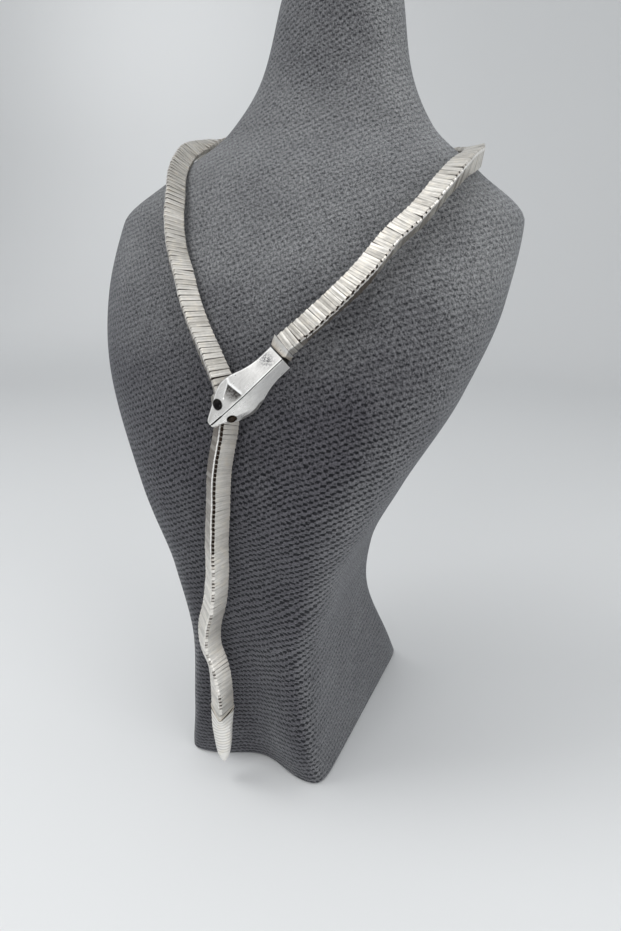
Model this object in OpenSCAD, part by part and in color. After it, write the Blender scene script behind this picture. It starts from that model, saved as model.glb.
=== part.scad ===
// Snake necklace on a neck bust.
// Millimetres. The origin is on the table under the bust, +Z is up and the chest faces -Y.

/* [Bust] */
// Height from the table to the top of the neck
bust_h = 345; // [343:1:348]
// Width across the shoulders
shoulder_w = 180; // [178:1:182]
// Width of the foot at the table
foot_w = 64; // [62:1:67]
// How far the foot reaches in front of the origin
foot_front = 52.5; // [50:0.5:53]
// How far the foot reaches behind the origin
foot_back = 71; // [68:1:75]
// How deep the front of the foot is bowed inwards
foot_bow = 8.3; // [6:0.1:10]
// How far the chest reaches in front of the origin
chest_front = 73.5; // [72:0.5:73.5]

/* [Chain] */
// Width of the chain over its flat back
chain_w = 9.8; // [9.2:0.1:9.8]
// Height of the chain from its flat back to its ridge
chain_h = 8.1; // [7.6:0.1:8.2]
// Radius of the chain's three long edges
chain_edge = 0.9; // [0.7:0.1:1.1]
// Length of one link round the neck
neck_pitch = 2.4; // [2.2:0.1:3]
// Length of one link on the tail
tail_pitch = 1.65; // [1.5:0.05:2.4]
// How far a link's front lip stands over the next link
lip = 0.35; // [0.2:0.05:0.5]

/* [Head] */
// Length from the neck of the head to the tip of the nose
head_l = 34; // [33:0.5:35]
// Width across the cheeks
head_w = 15.6; // [14:0.1:16]
// Width of the head where it joins its collar
head_neck_w = 9.8; // [9.2:0.1:10]
// Depth of the groove along the top of the head
groove = 0.5; // [0.3:0.1:0.7]
// Diameter of one eye
eye_d = 2.9; // [2.5:0.1:3.1]

/* [Tail end] */
// Length of the pointed end
tip_l = 25.6; // [24.6:0.2:26.6]
// Number of ring grooves round the pointed end
tip_rings = 12; // [8:1:14]

/* [Hidden] */
$fn = 48;

silver = "#c9c5bc";
dark_silver = "#a39c90";
cloth_grey = "#55555b";
eye_black = "#141416";

gap = 0.15;            // clearance between neighbouring pieces of metal
lip_back = 0.3;        // length of the slope behind a link's lip
bust_sides = 44;       // corners of one bust ring
bust_step = 9;         // height between bust rings
top_round = 7;         // height over which the top of the neck is rounded

// The bust, one row for each level. Squareness is 2 for an ellipse and more for a squarer plan,
// bow is how deep its front is bowed inwards, and taper how much wider it is in front
// columns: height, half width, front, back, squareness, bow, taper
BUST = [
  [0,   foot_w / 2,       -foot_front,  foot_back, 14,  foot_bow,        0.02],
  [20,  foot_w / 2 - 0.7, -58,          54,        11,  foot_bow * 0.87, -0.03],
  [60,  29,               -63,          29,        6,   foot_bow * 0.33, 0.01],
  [95,  35.7,             -67,          15,        4.8, 0,               0.04],
  [130, 53,               -chest_front, 11,        3.2, 0,               0.02],
  [170, 75,               -69,          18,        2.6, 0,               0.01],
  [205, 86.7,             -55.5,        30,        2.4, 0,               0.01],
  [235, shoulder_w / 2,   -34,          33,        2.3, 0,               0],
  [255, 70,               -19,          35,        2.1, 0,               0],
  [275, 47.5,             -1,           40,        2,   0,               0],
  [300, 34.5,             11,           46,        2,   0,               0],
  [bust_h - top_round,     26,   17.5,  52.5,      2,   0,               0],
  [bust_h - top_round / 4, 23.5, 20,    50,        2,   0,               0],
  [bust_h,                 20,   23.5,  46.5,      2,   0,               0]
];
bow_power = 4;         // how closely the bow of the front keeps to the middle

// The chain's own middle line, from the head's collar round the neck and down to the tail's end
// columns: x, y, z, roll of the ridge about the line, from the bust's own outward direction
ROUTE = [
  [21.5, -69.8, 190.5, 42],
  [29.3, -65.2, 198.2, 51],
  [42.5, -54.5, 213.5, 50],
  [50.5, -44.8, 226.5, 51],
  [58,   -36,   236,   47],
  [64.5, -23.5, 248,   44],
  [67.5, -12,   255,   32],
  [69,   1,     259.5, 20],
  [66,   15,    262.5, 6],
  [57,   29,    263,   0],
  [42,   39.5,  262.5, 0],
  [22,   45.5,  262,   0],
  [0,    47,    262.5, 0],
  [-22,  46,    265,   0],
  [-41,  41,    269.5, 0],
  [-54,  30.5,  273,   -6],
  [-61.5, 17.5, 269.5, -12],
  [-61.8, 2.5,  264.8, -12],
  [-55.2, -16.6, 254.8, -6],
  [-47.6, -30.6, 243.7, 2],
  [-42.7, -39.6, 233,  6],
  [-36, -48.5, 222.5,  8],
  [-29, -55,   213,    10],
  [-23,  -60.7, 204,   9],
  [-16.5, -65,  194.5, 7],
  [-8.5, -70,   185,   5],
  [-2.8, -73,   177,   5],
  [0.3,  -74.2, 168.5, -10],
  [0.9,  -76.5, 160,   -13],
  [-0.9, -78.5, 145.5, -13],
  [-1.1, -79.6, 131.5, -13],
  [-2.5, -78.6, 116,   -13],
  [-3.7, -76.6, 102.5, -13],
  [-6.1, -74.6, 89,    -18],
  [-9.7, -72.5, 78,    -20],
  [-10.6, -71,  68,    -14],
  [-8,   -69.5, 57.5,  -10],
  [-7.2, -68,   44,    -21],
  [-8,   -66.7, 33.5,  -20],
  [-8.2, -65.4, 22,    -22],
  [-8.5, -64.4, 9.5,   -24]
];
FRONT_END = 27;        // row of ROUTE where the neck's stretch ends, under the head
route_fine = 8;        // steps of the middle line between two rows

// The head, one row for each section, from its neck to the tip of the nose
// columns: place along, half width of the foot, foot height, half width of the shoulder,
// shoulder height, ridge height
HEAD = [
  [0,             head_neck_w / 2 - 0.4, -2.9, head_neck_w / 2,   -1.4, 3.2],
  [head_l * 0.26, head_neck_w / 2,       -2.8, head_neck_w / 2 + 0.4, -1.2, 3.4],
  [head_l * 0.44, head_w / 2 - 1.2,      -2.7, head_w / 2 - 0.8,  -0.9, 3.6],
  [head_l * 0.54, head_w / 2 - 0.3,      -2.6, head_w / 2,        -0.7, 3.7],
  [head_l * 0.60, head_w / 2 - 0.4,      -2.5, head_w / 2 - 0.2,  -1.0, 3.2],
  [head_l * 0.75, head_w / 2 - 2.0,      -2.3, head_w / 2 - 2.1,  -0.9, 2.8],
  [head_l * 0.86, head_w / 2 - 3.9,      -2.1, head_w / 2 - 4.2,  -0.3, 2.2],
  [head_l * 0.95, head_w / 2 - 5.5,      -1.9, head_w / 2 - 5.9,  0.1,  1.6],
  [head_l,        head_w / 2 - 6.7,      -1.3, head_w / 2 - 7.0,  0,    0.9]
];
HEAD_NECK = [19.9, -69.8, 186.4];    // middle of the head where it joins the collar
HEAD_NOSE = [-0.8, -83.2, 163.3];   // tip of the nose
HEAD_TOP = [0.52, -0.85, -0.05];     // the way the ridge of the head faces
eye_along = head_l * 0.805;          // place of the eyes along the head
eye_out = 3.35;                      // distance of an eye from the ridge
eye_up = 0.35;                       // height of an eye's middle
groove_half = 0.3;                   // half width of the groove along the ridge

clasp_l = 5;           // length of the clasp along the chain
clasp_wall = 0.8;      // thickness of the clasp's metal
clasp_gap = 0.35;      // clearance between the clasp and the chain
clasp_row = 26.75;     // place of the clasp on ROUTE
room_rows = [-1.2, 1.8]; // stretch of ROUTE about the clasp that is cut from the head
collar_l = 3;          // length of the tail's collar

function unit(v) = v / norm(v);
function project_off(v, t) = unit(v - t * (v * t));

// A smooth curve through the rows of a table, which never overshoots them
function slope(t, c, i) =
  let (
    n = len(t) - 1,
    before = i == 0 ? 0 : (t[i][c] - t[i - 1][c]) / (t[i][0] - t[i - 1][0]),
    after = i == n ? 0 : (t[i + 1][c] - t[i][c]) / (t[i + 1][0] - t[i][0])
  )
  i == 0 ? after : i == n ? before : before * after <= 0 ? 0 : 2 * before * after / (before + after);
SLOPES = [for (i = [0:len(BUST) - 1]) [for (c = [0:6]) slope(BUST, c, i)]];
function bust_row(z, i = 0) = i >= len(BUST) - 2 || z < BUST[i + 1][0] ? i : bust_row(z, i + 1);
function bust_at(z) =
  let (
    i = bust_row(z),
    h = BUST[i + 1][0] - BUST[i][0],
    t = max(0, min(1, (z - BUST[i][0]) / h)),
    a = 2 * t ^ 3 - 3 * t ^ 2 + 1,
    b = t ^ 3 - 2 * t ^ 2 + t,
    d = t ^ 3 - t ^ 2
  )
  [for (c = [0:6]) a * BUST[i][c] + b * h * SLOPES[i][c] + (1 - a) * BUST[i + 1][c]
    + d * h * SLOPES[i + 1][c]];

// A point of the bust's skin: the angle is 0 at the front and grows towards +X
function bust_point(z, angle) =
  let (
    r = bust_at(z),
    k = (abs(sin(angle)) ^ r[4] + abs(cos(angle)) ^ r[4]) ^ (1 / r[4]),
    side = sin(angle) / k,
    depth = -cos(angle) / k,
    bow = depth < 0 ? -depth * r[5] * (1 - side ^ 2) ^ bow_power : 0
  )
  [r[1] * side * (1 - r[6] * depth), (r[2] + r[3]) / 2 + (r[3] - r[2]) / 2 * depth + bow, z];

// How far out of the bust a point is: 1 on its skin
function reach(p) =
  let (
    r = bust_at(p.z),
    depth = (p.y - (r[2] + r[3]) / 2) / ((r[3] - r[2]) / 2),
    side = p.x / r[1] / (1 - r[6] * depth)
  )
  (abs(side) ^ r[4] + abs(depth) ^ r[4]) ^ (1 / r[4]);
function outward(p, e = 0.5) = unit([
  reach(p + [e, 0, 0]) - reach(p - [e, 0, 0]),
  reach(p + [0, e, 0]) - reach(p - [0, e, 0]),
  reach(p + [0, 0, e]) - reach(p - [0, 0, e])
]);

// The middle line as a smooth curve through ROUTE
function route_at(u) =
  let (
    i = min(len(ROUTE) - 2, floor(u)),
    t = u - i,
    p = ROUTE[max(0, i - 1)],
    q = ROUTE[i],
    r = ROUTE[i + 1],
    s = ROUTE[min(len(ROUTE) - 1, i + 2)]
  )
  (2 * q + (r - p) * t + (2 * p - 5 * q + 4 * r - s) * t ^ 2 + (3 * q - p - 3 * r + s) * t ^ 3) / 2;
function place(v) = [v[0], v[1], v[2]];
FINE = [for (k = [0:(len(ROUTE) - 1) * route_fine]) place(route_at(k / route_fine))];
LENGTHS = [for (k = 0, s = 0; k < len(FINE);
               k = k + 1, s = s + (k < len(FINE) ? norm(FINE[k] - FINE[k - 1]) : 0)) s];
BY_LENGTH = [for (k = [0:len(FINE) - 1]) [LENGTHS[k], k / route_fine]];
BY_ROW = [for (k = [0:len(FINE) - 1]) [k / route_fine, LENGTHS[k]]];
function length_at(row) = lookup(row, BY_ROW);

// The frame of the chain at a length: middle, side, ridge direction and way along
function chain_frame(s) =
  let (
    u = lookup(s, BY_LENGTH),
    v = route_at(u),
    step = 0.05,
    t = unit(place(route_at(min(len(ROUTE) - 1, u + step)) - route_at(max(0, u - step)))),
    n = project_off(outward(place(v)), t),
    b = cross(t, n)
  )
  [place(v), cos(v[3]) * b - sin(v[3]) * n, cos(v[3]) * n + sin(v[3]) * b, t];

// The chain's section: a triangle with round edges, its flat back at the bottom
function corner_arc(c, r, from, to, k) =
  [for (j = [0:k - 1]) c + r * [cos(from + (to - from) * j / (k - 1)), sin(from + (to - from) * j / (k - 1))]];
function chain_section(w, h, r, k = 2) =
  let (
    side = w / 2 - r,
    low = (h - 2 * r) / 3,
    flank = atan2(side, 3 * low)
  )
  concat(
    corner_arc([side, -low], r, -90, flank, k),
    corner_arc([0, 2 * low], r, flank, 180 - flank, 3),
    corner_arc([-side, -low], r, 180 - flank, 270, k)
  );
function ring(f, section) = [for (p = section) f[0] + f[1] * p.x + f[2] * p.y];

// The side faces between rings of n corners, each joined to the next
function walls(n, m) = [for (i = [0:m - 2]) for (j = [0:n - 1]) let (
    a = i * n + j,
    b = i * n + (j + 1) % n
  ) each [[a, b, a + n], [b, b + n, a + n]]];

// A closed skin over a list of rings with the same number of corners
module skin(rings) {
  n = len(rings[0]);
  m = len(rings);
  first = [for (j = [0:n - 1]) n - 1 - j];
  last = [for (j = [0:n - 1]) (m - 1) * n + j];
  polyhedron(
    points = [for (r = rings) each r],
    faces = concat(walls(n, m), [first], [last]),
    convexity = 10
  );
}

// A tube with a wall: its rings run along the outside and back along the inside
module sleeve(outer, inner) {
  n = len(outer[0]);
  rings = concat(outer, [for (i = [len(inner) - 1:-1:0]) inner[i]], [outer[0]]);
  m = len(rings) - 1;
  polyhedron(
    points = [for (i = [0:m - 1]) each rings[i]],
    faces = [for (f = walls(n, m + 1)) [for (v = f) v % (n * m)]],
    convexity = 10
  );
}

// A run of links from one length to another, each with a lip over the next
module links(from, to, pitch) {
  count = round((to - from) / pitch);
  step = (to - from) / count;
  wide = chain_section(chain_w, chain_h, chain_edge);
  narrow = chain_section(chain_w - 2 * lip, chain_h - 2 * lip, chain_edge - lip / 2);
  skin([for (i = [0:count - 1]) each [
    ring(chain_frame(from + i * step + (i == 0 ? 0 : lip_back)), narrow),
    ring(chain_frame(from + (i + 1) * step), wide)
  ]]);
}

chain_start = 0;
chain_mid = length_at(FRONT_END);
chain_stop = LENGTHS[len(LENGTHS) - 1];
collar_from = chain_stop - tip_l - collar_l;

// The head's frame: middle of its neck, side, top and way along
head_y = unit(HEAD_NOSE - HEAD_NECK);
head_z = project_off(HEAD_TOP, head_y);
head_x = cross(head_y, head_z);
module on_head() {
  multmatrix([
    [head_x.x, head_y.x, head_z.x, HEAD_NECK.x],
    [head_x.y, head_y.y, head_z.y, HEAD_NECK.y],
    [head_x.z, head_y.z, head_z.z, HEAD_NECK.z],
    [0, 0, 0, 1]
  ]) children();
}

// One section of the head, corner by corner round it
function head_section(r) = [
  [r[1], r[0], r[2]],
  [r[3], r[0], r[4]],
  [groove_half, r[0], r[5]],
  [0, r[0], r[5] - groove],
  [-groove_half, r[0], r[5]],
  [-r[3], r[0], r[4]],
  [-r[1], r[0], r[2]]
];

module neck_bust() {
  count = ceil(bust_h / bust_step);
  levels = [for (i = [0:count - 1]) bust_h * i / count];
  rim = [bust_h - top_round / 2, bust_h - top_round / 8, bust_h];
  heights = concat([for (z = levels) if (z < bust_h - top_round) z], rim);
  color(cloth_grey)
    skin([for (z = heights) [for (j = [0:bust_sides - 1]) bust_point(z, -360 * j / bust_sides)]]);
}

module neck_chain() {
  color(silver) links(chain_start, chain_mid - gap / 2, neck_pitch);
}

module tail_chain() {
  color(silver) links(chain_mid + gap / 2, collar_from - gap, tail_pitch);
}

module snake_head() {
  under = [for (u = [room_rows[0]:0.3:room_rows[1]]) length_at(clasp_row + u)];
  grow = clasp_gap + clasp_wall + gap;
  room = chain_section(chain_w + 2 * grow, chain_h + 2 * grow, chain_edge + grow);
  color(silver) difference() {
    on_head() skin([for (r = HEAD) head_section(r)]);
    for (side = [-1, 1]) on_head() eye_seat(side);
    skin([for (s = under) ring(chain_frame(s), room)]);
  }
}

// The round seat of one eye
module eye_seat(side) {
  translate([side * eye_out, eye_along, eye_up]) sphere(d = eye_d + 2 * gap, $fn = 16);
}

module eye(side) {
  color(eye_black) on_head() translate([side * eye_out, eye_along, eye_up]) sphere(d = eye_d);
}

// The folded block between the head and the first link
module head_collar() {
  first = chain_frame(chain_start);
  back = ring([first[0] - first[3] * gap, first[1], first[2]],
    chain_section(chain_w + 0.6, chain_h + 0.5, chain_edge));
  nose_side = [for (p = chain_section(head_neck_w, chain_h - 1.4, chain_edge))
    HEAD_NECK - head_y * gap - head_x * p.x + head_z * (p.y - 0.6)];
  color(silver) skin([nose_side, back]);
}

// The plain keeper under the head, a loop round the chain with a foot up to the head
module head_clasp() {
  middle = length_at(clasp_row);
  frames = [for (k = [-1:1]) chain_frame(middle + k * clasp_l / 2)];
  grow = clasp_gap + clasp_wall;
  outer = chain_section(chain_w + 2 * grow, chain_h + 2 * grow, chain_edge + grow);
  inner = chain_section(chain_w + 2 * clasp_gap, chain_h + 2 * clasp_gap, chain_edge + clasp_gap);
  color(dark_silver) sleeve([for (f = frames) ring(f, outer)], [for (f = frames) ring(f, inner)]);
}

// The band between the last link and the pointed end
module tail_collar() {
  color(silver) skin([for (k = [0:2]) ring(
    chain_frame(collar_from + collar_l * k / 2),
    chain_section(chain_w - 0.2 + 0.3 * (k % 2), chain_h - 0.2 + 0.3 * (k % 2), chain_edge)
  )]);
}

// The pointed end: a round cone with a rounded point and ring grooves
module tail_tip() {
  grooved = 0.74;      // share of its length that has grooves
  round_from = 0.25;   // share after which its section is round
  rounding = 0.4;      // corner radius of the round section, as a share of its width
  from = collar_from + collar_l + gap;
  rings = [for (i = [0:tip_rings - 1]) each [
    [grooved * i / tip_rings, 1],
    [grooved * (i + 0.6) / tip_rings, 1],
    [grooved * (i + 0.8) / tip_rings, 0.95]
  ]];
  rows = concat(rings, [[grooved, 1], [0.8, 1], [0.86, 1], [0.91, 1], [0.95, 1], [0.98, 1], [0.996, 1]]);
  color(silver) skin([for (r = rows)
    let (
      width = (chain_w - 0.2) * (1 - 0.4 * r[0]) * (1 - r[0] ^ 5) ^ 0.75 * r[1],
      share = min(1, r[0] / round_from),
      edge = width * (chain_edge / chain_w * (1 - share) + rounding * share)
    )
    ring(chain_frame(from + r[0] * (chain_stop - from)),
      chain_section(width, width * chain_h / chain_w, edge))
  ]);
}

module eye_left() {
  eye(1);
}

module eye_right() {
  eye(-1);
}

neck_bust();
neck_chain();
tail_chain();
snake_head();
head_collar();
head_clasp();
tail_collar();
tail_tip();
eye_left();
eye_right();
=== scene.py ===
"""Snake necklace on a neck bust: every visible surface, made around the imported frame."""

import math

import bpy
import numpy as np
from mathutils import Matrix, Vector


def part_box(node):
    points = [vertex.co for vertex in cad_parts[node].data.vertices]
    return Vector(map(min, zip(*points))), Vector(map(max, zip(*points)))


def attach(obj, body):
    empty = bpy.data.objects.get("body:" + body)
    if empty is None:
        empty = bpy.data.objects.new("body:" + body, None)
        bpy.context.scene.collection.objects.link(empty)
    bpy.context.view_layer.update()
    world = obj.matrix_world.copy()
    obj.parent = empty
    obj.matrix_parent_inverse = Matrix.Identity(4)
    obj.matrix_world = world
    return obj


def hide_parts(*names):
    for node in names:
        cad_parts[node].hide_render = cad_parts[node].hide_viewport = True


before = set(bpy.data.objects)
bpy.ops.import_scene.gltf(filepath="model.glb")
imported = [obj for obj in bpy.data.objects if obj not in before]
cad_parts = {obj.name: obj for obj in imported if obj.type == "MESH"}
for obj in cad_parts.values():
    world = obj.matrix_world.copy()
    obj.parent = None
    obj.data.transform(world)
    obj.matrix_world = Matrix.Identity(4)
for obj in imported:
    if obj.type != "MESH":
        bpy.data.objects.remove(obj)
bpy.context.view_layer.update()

# Sizes are in millimetres and angles in degrees, unless a comment says otherwise
MM = 0.001
BUST_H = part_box("neck_bust")[1][2] / MM
SHOULDER_HALF = 90
FOOT_HALF = 32
FOOT_FRONT = -52.5
FOOT_BACK = 71
CHEST_FRONT = -73.5
FOOT_BOW = 8.3
BOW_POWER = 4
TOP_ROUND = 7

# The bust, one row for each level. Squareness is 2 for an ellipse and more for a squarer plan,
# bow is how deep its front is bowed inwards, and taper how much wider it is in front
# columns: height, half width, front, back, squareness, bow, taper
BUST = [
    (0, FOOT_HALF, FOOT_FRONT, FOOT_BACK, 14, FOOT_BOW, 0.02),
    (20, FOOT_HALF - 0.7, -58, 54, 11, FOOT_BOW * 0.87, -0.03),
    (60, 29, -63, 29, 6, FOOT_BOW * 0.33, 0.01),
    (95, 35.7, -67, 15, 4.8, 0, 0.04),
    (130, 53, CHEST_FRONT, 11, 3.2, 0, 0.02),
    (170, 75, -69, 18, 2.6, 0, 0.01),
    (205, 86.7, -55.5, 30, 2.4, 0, 0.01),
    (235, SHOULDER_HALF, -34, 33, 2.3, 0, 0),
    (255, 70, -19, 35, 2.1, 0, 0),
    (275, 47.5, -1, 40, 2, 0, 0),
    (300, 34.5, 11, 46, 2, 0, 0),
    (BUST_H - TOP_ROUND, 26, 17.5, 52.5, 2, 0, 0),
    (BUST_H - TOP_ROUND / 4, 23.5, 20, 50, 2, 0, 0),
    (BUST_H, 20, 23.5, 46.5, 2, 0, 0),
]

# The chain's middle line, from the head's collar round the neck and down to the tail's end
# columns: x, y, z, roll of the ridge about the line, from the bust's own outward direction
ROUTE = [
    (21.5, -69.8, 190.5, 42), (29.3, -65.2, 198.2, 51), (42.5, -54.5, 213.5, 50),
    (50.5, -44.8, 226.5, 51), (58, -36, 236, 47), (64.5, -23.5, 248, 44),
    (67.5, -12, 255, 32), (69, 1, 259.5, 20), (66, 15, 262.5, 6),
    (57, 29, 263, 0), (42, 39.5, 262.5, 0), (22, 45.5, 262, 0),
    (0, 47, 262.5, 0), (-22, 46, 265, 0), (-41, 41, 269.5, 0),
    (-54, 30.5, 273, -6), (-61.5, 17.5, 269.5, -12), (-61.8, 2.5, 264.8, -12),
    (-55.2, -16.6, 254.8, -6), (-47.6, -30.6, 243.7, 2), (-42.7, -39.6, 233, 6),
    (-36, -48.5, 222.5, 8), (-29, -55, 213, 10), (-23, -60.7, 204, 9),
    (-16.5, -65, 194.5, 7), (-8.5, -70, 185, 5), (-2.8, -73, 177, 5),
    (0.3, -74.2, 168.5, -10), (0.9, -76.5, 160, -13), (-0.9, -78.5, 145.5, -13),
    (-1.1, -79.6, 131.5, -13), (-2.5, -78.6, 116, -13), (-3.7, -76.6, 102.5, -13),
    (-6.1, -74.6, 89, -18), (-9.7, -72.5, 78, -20), (-10.6, -71, 68, -14),
    (-8, -69.5, 57.5, -10), (-7.2, -68, 44, -21), (-8, -66.7, 33.5, -20),
    (-8.2, -65.4, 22, -22), (-8.5, -64.4, 9.5, -24),
]
# The row of ROUTE where the neck's chain ends and the tail's begins
FRONT_END = 27
# Measured places of the route between two rows
ROUTE_FINE = 8
CHAIN_W = 9.8
CHAIN_H = 8.1
CHAIN_EDGE = 0.9
NECK_PITCH = 2.4
TAIL_PITCH = 1.65
GAP = 0.15
COLLAR_L = 3
TIP_L = 25.6

# Where the head begins and ends, and the way that its top faces
HEAD_NECK = np.array([19.9, -69.8, 186.4])
HEAD_NOSE = np.array([-0.8, -83.2, 163.3])
HEAD_TOP = np.array([0.52, -0.85, -0.05])
HEAD_L = 34
# The channel under the head: its row of ROUTE, its reach in rows each way, and its room
CLASP_ROW = 26.75
CHANNEL_REACH = (-1.2, 1.8)
CHANNEL_STEP = 0.15
CLASP_ROOM = 1.3


def unit(v):
    return v / np.linalg.norm(v)


def smooth(low, high, x):
    """0 below low, 1 above high and a smooth step between them."""
    t = np.clip((x - low) / (high - low), 0, 1)
    return t * t * (3 - 2 * t)


def blend_rows(rows, x):
    """The row of a table at x, straight between the rows that are there."""
    table = np.array(rows, float)
    return [np.interp(x, table[:, 0], table[:, c]) for c in range(1, table.shape[1])]


def curve_at(rows, x):
    """The second column of a table, at x in its first."""
    return blend_rows(rows, x)[0]


class SmoothTable:
    """A smooth curve through the rows of a table, which never overshoots them."""

    def __init__(self, rows):
        self.rows = np.array(rows, float)
        at = self.rows[:, :1]
        rise = np.diff(self.rows, axis=0) / np.diff(at, axis=0)
        before, after = rise[:-1], rise[1:]
        level = before * after <= 0
        inner = 2 * before * after / np.where(level, 1, before + after)
        self.slopes = np.vstack([rise[:1], np.where(level, 0, inner), rise[-1:]])

    def at(self, x):
        places = self.rows[:, 0]
        x = min(max(x, places[0]), places[-1])
        i = min(int(np.searchsorted(places, x, side="right")) - 1, len(places) - 2)
        h = places[i + 1] - places[i]
        t = (x - places[i]) / h
        a = 2 * t**3 - 3 * t**2 + 1
        start, end = t**3 - 2 * t**2 + t, t**3 - t**2
        row = a * self.rows[i] + (1 - a) * self.rows[i + 1]
        return row + h * (start * self.slopes[i] + end * self.slopes[i + 1])


bust_table = SmoothTable(BUST)


def bust_point(z, angle, inset=0.0):
    """A point of the bust's skin: the angle is 0 at the front and grows towards +X."""
    _, half, front, back, square, bow, taper = bust_table.at(z)
    s, c = math.sin(angle), math.cos(angle)
    k = (abs(s) ** square + abs(c) ** square) ** (1 / square)
    side, depth = s / k, -c / k
    dent = -depth * bow * (1 - side**2) ** BOW_POWER if depth < 0 else 0
    middle, half_depth = (front + back) / 2, (back - front) / 2
    x = (half - inset) * side * (1 - taper * depth)
    return np.array([x, middle + (half_depth - inset) * depth + dent, z])


def reach(p):
    """How far out of the bust a point is: 1 on its skin."""
    _, half, front, back, square, _, taper = bust_table.at(p[2])
    depth = (p[1] - (front + back) / 2) / ((back - front) / 2)
    side = p[0] / half / (1 - taper * depth)
    return (abs(side) ** square + abs(depth) ** square) ** (1 / square)


def outward(p, step=0.5):
    """The bust's own outward direction at a point."""
    shifts = np.eye(3) * step
    return unit(np.array([reach(p + s) - reach(p - s) for s in shifts]))


# The head's own axes: to its left, along it and out of its top
HEAD_Y = unit(HEAD_NOSE - HEAD_NECK)
HEAD_Z = unit(HEAD_TOP - HEAD_Y * (HEAD_Y @ HEAD_TOP))
HEAD_X = np.cross(HEAD_Y, HEAD_Z)


class Route:
    """The chain's middle line, measured along its length."""

    def __init__(self, rows):
        self.rows = np.array(rows, float)
        last = len(self.rows) - 1
        self.places = np.arange(last * ROUTE_FINE + 1) / ROUTE_FINE
        fine = np.array([self.at(u)[:3] for u in self.places])
        steps = np.linalg.norm(np.diff(fine, axis=0), axis=1)
        self.lengths = np.concatenate([[0], np.cumsum(steps)])
        self.total = self.lengths[-1]

    def at(self, u):
        rows, last = self.rows, len(self.rows) - 1
        i = min(last - 1, int(u))
        t = u - i
        p, q, r, s = rows[max(0, i - 1)], rows[i], rows[i + 1], rows[min(last, i + 2)]
        bend = 2 * p - 5 * q + 4 * r - s
        return (2 * q + (r - p) * t + bend * t**2 + (3 * q - p - 3 * r + s) * t**3) / 2

    def length_at(self, row):
        return float(np.interp(row, self.places, self.lengths))

    def frame(self, length, step=0.05):
        """Middle, side, ridge direction and way along at a length from the collar."""
        u = float(np.interp(length, self.lengths, self.places))
        v = self.at(u)
        last = len(self.rows) - 1
        way = unit((self.at(min(last, u + step)) - self.at(max(0, u - step)))[:3])
        out = outward(v[:3])
        out = unit(out - way * (way @ out))
        across = np.cross(way, out)
        roll = math.radians(v[3])
        c, s = math.cos(roll), math.sin(roll)
        return v[:3], c * across - s * out, c * out + s * across, way


route = Route(ROUTE)
CHAIN_MID = route.length_at(FRONT_END)
COLLAR_FROM = route.total - TIP_L - COLLAR_L


def corner_arc(centre, radius, start, end, count):
    angles = np.radians(np.linspace(start, end, count))
    return [(centre[0] + radius * math.cos(a), centre[1] + radius * math.sin(a)) for a in angles]


def chain_section(w, h, r, base=2, top=3):
    """The chain's section: a triangle with round edges, its flat back at the bottom."""
    side, low = w / 2 - r, (h - 2 * r) / 3
    flank = math.degrees(math.atan2(side, 3 * low))
    right = corner_arc((side, -low), r, -90, flank, base)
    ridge = corner_arc((0, 2 * low), r, flank, 180 - flank, top)
    left = corner_arc((-side, -low), r, 180 - flank, 270, base)
    return right + ridge + left


def finer(section, step):
    """The same section with more points on its straight sides."""
    points = []
    for a, b in zip(section, section[1:] + section[:1]):
        count = max(1, round(math.dist(a, b) / step))
        points += [(a[0] + (b[0] - a[0]) * k / count, a[1] + (b[1] - a[1]) * k / count)
                   for k in range(count)]
    return points


def ring(place, section):
    """A section's corners, set up at a place of the route."""
    middle, side, ridge = place[:3]
    return [middle + side * x + ridge * y for x, y in section]


def volume(points, faces):
    """The volume inside a closed mesh, below 0 when its faces point inwards."""
    p = np.array(points)
    corners = [(face[0], a, b) for face in faces for a, b in zip(face[1:], face[2:])]
    return sum(p[first] @ np.cross(p[a], p[b]) for first, a, b in corners) / 6


def add_object(name, data):
    made = bpy.data.objects.new(name, data)
    bpy.context.collection.objects.link(made)
    return made


def shaped_mesh(piece):
    """The piece's mesh as its modifiers shape it. They are then taken off the piece."""
    shaped = piece.evaluated_get(bpy.context.evaluated_depsgraph_get())
    mesh = bpy.data.meshes.new_from_object(shaped)
    piece.modifiers.clear()
    return mesh


def make_piece(name, points, faces, uv=None, marks=None, sharp=None):
    """A closed mesh in metres from points in millimetres, with its faces outwards. Edges that turn
    by more than sharp stay crisp."""
    if volume(points, faces) < 0:
        faces = [tuple(reversed(face)) for face in faces]
    mesh = bpy.data.meshes.new(name)
    mesh.from_pydata([Vector(p) * MM for p in points], [], faces)
    mesh.shade_smooth()
    if uv:
        layer = mesh.uv_layers.new(name="weave")
        for loop in mesh.loops:
            layer.data[loop.index].uv = uv[loop.vertex_index]
    for label, values in (marks or {}).items():
        mark = mesh.attributes.new(label, "FLOAT", "POINT")
        mark.data.foreach_set("value", np.array(values, float))
    if sharp:
        mesh.set_sharp_from_angle(angle=math.radians(sharp))
    mesh.update()
    return add_object(name, mesh)


def loft(rings):
    """Points and faces of a closed skin over rings that all have the same number of corners."""
    n, m = len(rings[0]), len(rings)
    points = [p for r in rings for p in r]
    faces = []
    for i in range(m - 1):
        for j in range(n):
            a, b = i * n + j, i * n + (j + 1) % n
            faces.append((a, b, b + n, a + n))
    faces.append(tuple(reversed(range(n))))
    faces.append(tuple(range((m - 1) * n, m * n)))
    return points, faces


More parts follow.
